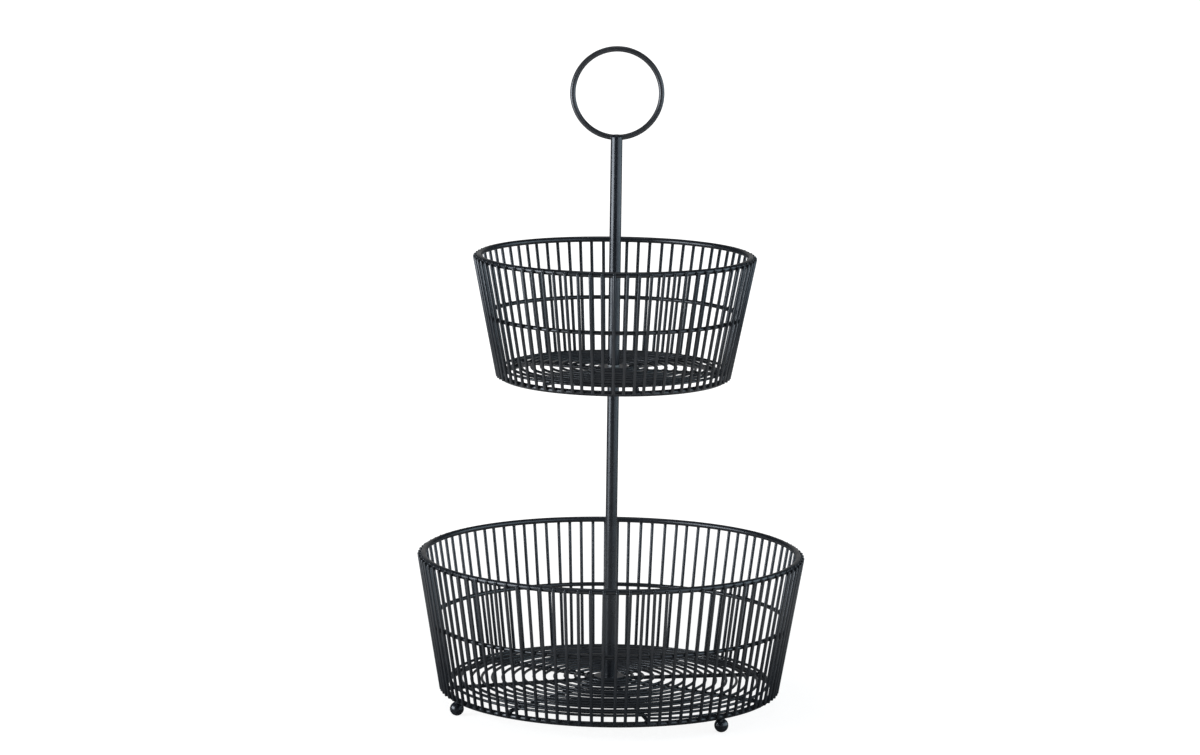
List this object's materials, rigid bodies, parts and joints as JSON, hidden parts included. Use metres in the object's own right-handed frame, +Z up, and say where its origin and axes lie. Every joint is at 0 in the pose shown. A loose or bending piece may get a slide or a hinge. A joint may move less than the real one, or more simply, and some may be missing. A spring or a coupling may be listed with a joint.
{
  "type": "tiered wire basket",
  "caption": "Free-standing tiered wire basket: a wide lower and a smaller upper round wire basket on a slim central stem with a ring handle and ball feet.",
  "frame": {"origin": "on the table under the stem's axis, at the underside of the ball feet", "axes": "+Z up along the stem, -Y towards the front, +X to the right; the ring handle lies in the XZ plane"},
  "size_m": [0.305, 0.305, 0.5208],
  "materials": {
    "wire_coat": "satin dark blue-black powder coat on steel wire",
    "stem_coat": "satin dark blue-black powder coat on steel rod",
    "foot_coat": "satin dark blue-black powder coat on steel balls",
    "zinc_steel": "bright zinc-plated steel"
  },
  "bodies": {
    "frame": {"base_screw": "zinc_steel", "base_washer": "zinc_steel", "foot_back": "foot_coat", "foot_left": "foot_coat", "foot_right": "foot_coat", "lower_base_ring": "wire_coat", "lower_brace_wire": "wire_coat", "lower_floor_ring_01": "wire_coat", "lower_floor_ring_02": "wire_coat", "lower_floor_ring_03": "wire_coat", "lower_floor_ring_04": "wire_coat", "lower_floor_ring_05": "wire_coat", "lower_floor_ring_06": "wire_coat", "lower_floor_ring_07": "wire_coat", "lower_floor_ring_08": "wire_coat", "lower_floor_ring_09": "wire_coat", "lower_floor_ring_10": "wire_coat", "lower_floor_ring_11": "wire_coat", "lower_floor_ring_12": "wire_coat", "lower_floor_ring_13": "wire_coat", "lower_floor_ring_14": "wire_coat", "lower_hub_disc": "wire_coat", "lower_mid_ring": "wire_coat", "lower_rim_ring": "wire_coat", "lower_spokes": "wire_coat", "lower_stem": "stem_coat", "lower_support_bar_1": "wire_coat", "lower_support_bar_2": "wire_coat", "lower_support_bar_3": "wire_coat", "lower_support_bar_4": "wire_coat", "lower_support_bar_5": "wire_coat", "lower_support_bar_6": "wire_coat", "lower_support_bar_7": "wire_coat", "lower_support_bar_8": "wire_coat", "stem_stud": "zinc_steel", "upper_base_ring": "wire_coat", "upper_floor_ring_01": "wire_coat", "upper_floor_ring_02": "wire_coat", "upper_floor_ring_03": "wire_coat", "upper_floor_ring_04": "wire_coat", "upper_floor_ring_05": "wire_coat", "upper_floor_ring_06": "wire_coat", "upper_floor_ring_07": "wire_coat", "upper_floor_ring_08": "wire_coat", "upper_floor_ring_09": "wire_coat", "upper_floor_ring_10": "wire_coat", "upper_hub_disc": "wire_coat", "upper_mid_ring": "wire_coat", "upper_rim_ring": "wire_coat", "upper_spokes": "wire_coat", "upper_support_bar_1": "wire_coat", "upper_support_bar_2": "wire_coat", "upper_support_bar_3": "wire_coat", "upper_support_bar_4": "wire_coat", "upper_support_bar_5": "wire_coat", "upper_support_bar_6": "wire_coat"},
    "washer": {"clamp_washer": "zinc_steel"},
    "handle": {"upper_stem": "stem_coat", "ring_handle": "wire_coat"}
  },
  "joints": [
    {"name": "handle_turn", "type": "hinge", "parent": "frame", "child": "washer", "pos_m": [0, 0, 0.2703], "axis": [0, 0, 1], "range_deg": [0, 4410]},
    {"name": "handle_lift", "type": "slide", "parent": "washer", "child": "handle", "axis": [0, 0, 1], "range_m": [0, 0.0098]}
  ],
  "couplings": [
    {"joint": "handle_turn", "follows": "handle_lift", "rad_per_m": 7854}
  ]
}
